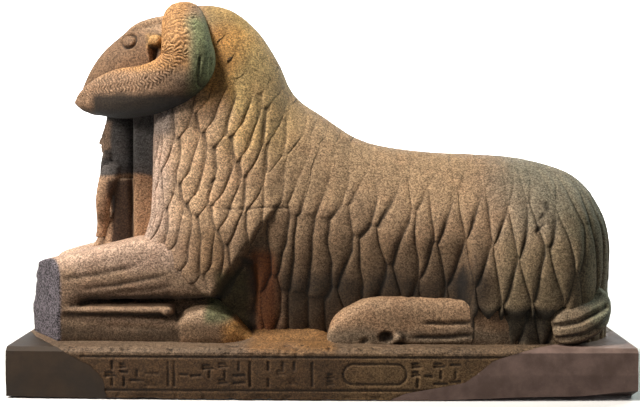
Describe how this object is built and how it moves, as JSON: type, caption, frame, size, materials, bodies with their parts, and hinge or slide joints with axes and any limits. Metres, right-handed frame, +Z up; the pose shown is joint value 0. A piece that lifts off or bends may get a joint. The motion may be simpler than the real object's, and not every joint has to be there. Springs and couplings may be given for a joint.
{
  "type": "recumbent ram sphinx statue with a small standing king",
  "caption": "Granite ram lying on its own low plinth, with curled horns, carved fleece and a small king standing between its forelegs.",
  "frame": {"origin": "on the ground under the middle of the plinth", "axes": "+X from the ram's face to its rump along the plinth, +Y to the ram's right, +Z up"},
  "size_m": [1.63, 0.63, 1.0486],
  "materials": {
    "granite": "worn, finely pecked granite gneiss",
    "cast_fill_dark": "smooth matt cast fill, dark brown-grey",
    "cast_fill_brown": "smooth matt cast fill, reddish grey-brown"
  },
  "bodies": {
    "root": {"ram_king_monolith": "granite", "plinth_repair_front": "cast_fill_dark", "plinth_repair_rear": "cast_fill_brown"}
  },
  "joints": []
}
